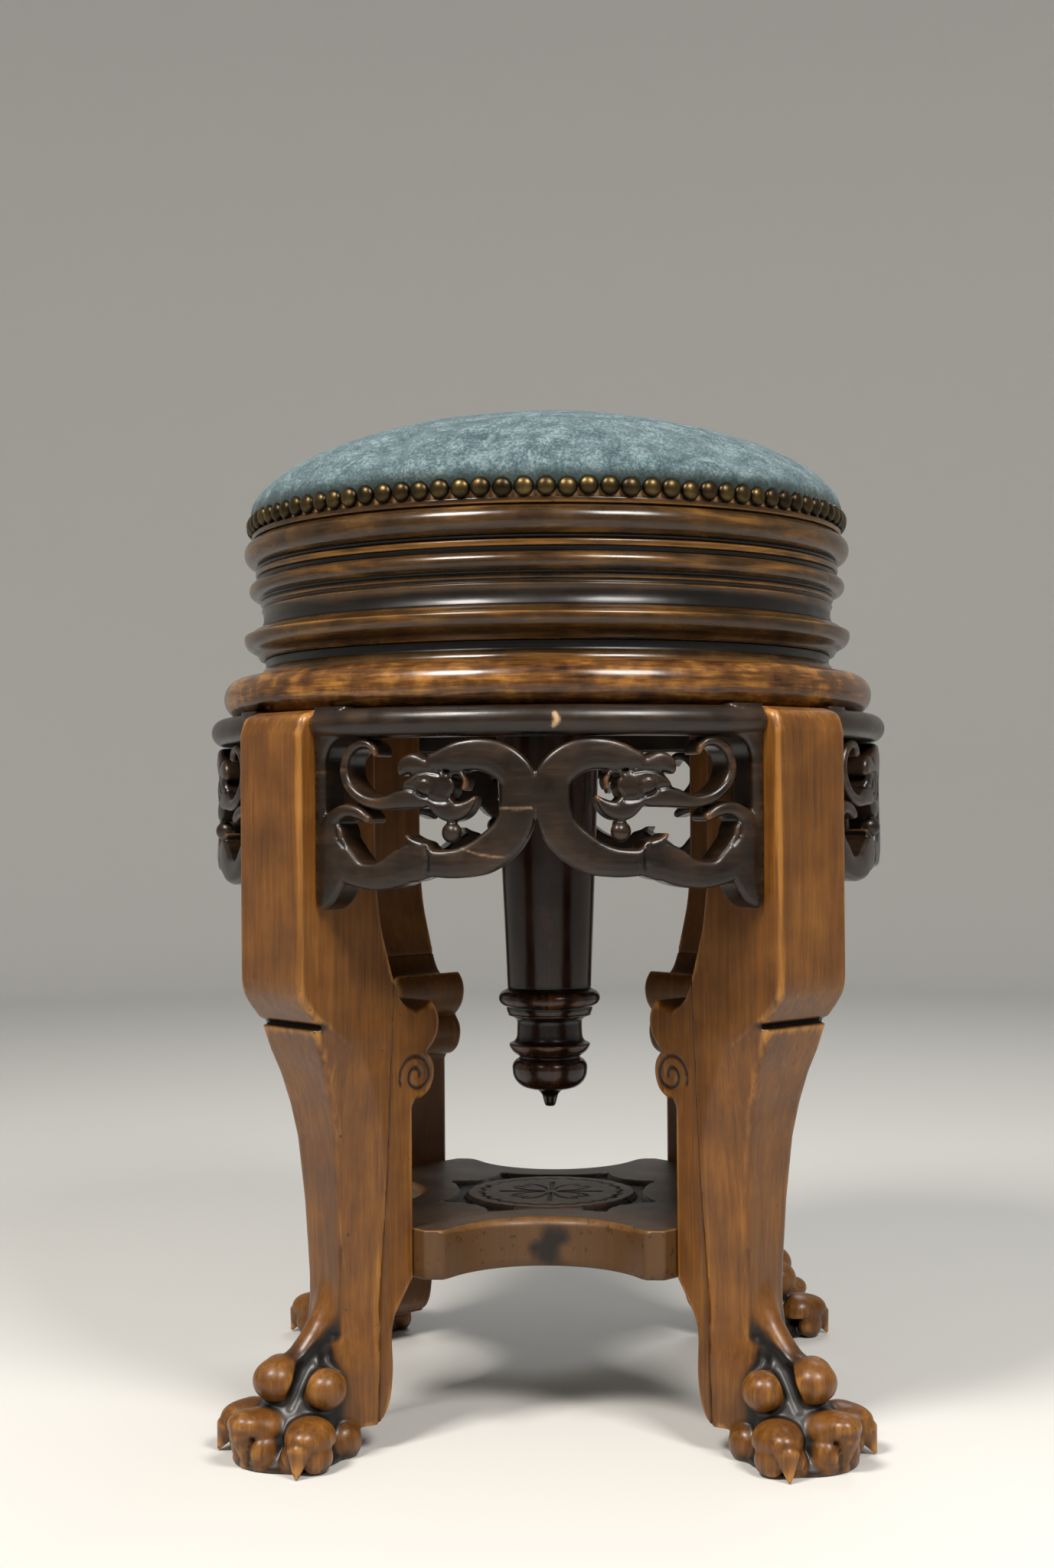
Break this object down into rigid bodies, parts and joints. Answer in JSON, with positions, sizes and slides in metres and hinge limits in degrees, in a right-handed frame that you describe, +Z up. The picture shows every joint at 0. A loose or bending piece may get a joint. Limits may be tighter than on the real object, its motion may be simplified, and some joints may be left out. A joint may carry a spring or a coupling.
{
  "type": "revolving piano stool",
  "caption": "Round velvet seat on a turned drum that turns and climbs on a screw, over carved paw-footed legs, openwork aprons and a shelf.",
  "frame": {"origin": "centre of the stool at floor level, under the screw's axis", "axes": "+Z up along the screw's axis; one curved apron faces -Y, one +X; the legs stand on the diagonals"},
  "size_m": [0.394, 0.394, 0.57],
  "materials": {
    "velvet": "cut pile",
    "stuffing": "curled hair and wadding",
    "nail_brass": "antiqued",
    "leg_wood": "worn varnish",
    "drum_wood": "glossy varnish",
    "frame_wood": "ebonised, satin",
    "pendant_wood": "glossy varnish",
    "inner_wood": "bare",
    "iron": "machined",
    "screw_steel": "plain"
  },
  "bodies": {
    "base": {"ring_board": "frame_wood", "base_nut": "iron", "nut_screws": "screw_steel", "apron_dowels": "inner_wood", "leg_dowels": "inner_wood", "shelf": "frame_wood", "shelf_dowels": "inner_wood", "screw_housing": "pendant_wood", "pendant_collar": "pendant_wood", "pendant_drop": "pendant_wood", "leg_front_left": "leg_wood", "bracket_front_left": "leg_wood", "leg_front_right": "leg_wood", "bracket_front_right": "leg_wood", "leg_back_left": "leg_wood", "bracket_back_left": "leg_wood", "leg_back_right": "leg_wood", "bracket_back_right": "leg_wood", "apron_front": "frame_wood", "apron_right": "frame_wood", "apron_back": "frame_wood", "apron_left": "frame_wood"},
    "lift": {"stop_washer": "screw_steel"},
    "seat": {"velvet_cover": "velvet", "seat_stuffing": "stuffing", "seat_nails": "nail_brass", "seat_board": "inner_wood", "cap_moulding": "drum_wood", "frieze_moulding": "drum_wood", "ogee_moulding": "drum_wood", "plinth_ring": "drum_wood", "drum_base_board": "inner_wood", "screw_plate": "iron", "plate_screws": "screw_steel", "seat_screw": "iron", "end_bolt": "screw_steel"}
  },
  "joints": [
    {"name": "seat_lift", "type": "slide", "parent": "base", "child": "lift", "axis": [0, 0, 1], "range_m": [0, 0.1]},
    {"name": "seat_spin", "type": "hinge", "parent": "lift", "child": "seat", "pos_m": [0, 0, 0.4], "axis": [0, 0, 1], "range_deg": [0, 3600]}
  ],
  "couplings": [
    {"joint": "seat_lift", "follows": "seat_spin", "m_per_rad": 0.0015915}
  ]
}
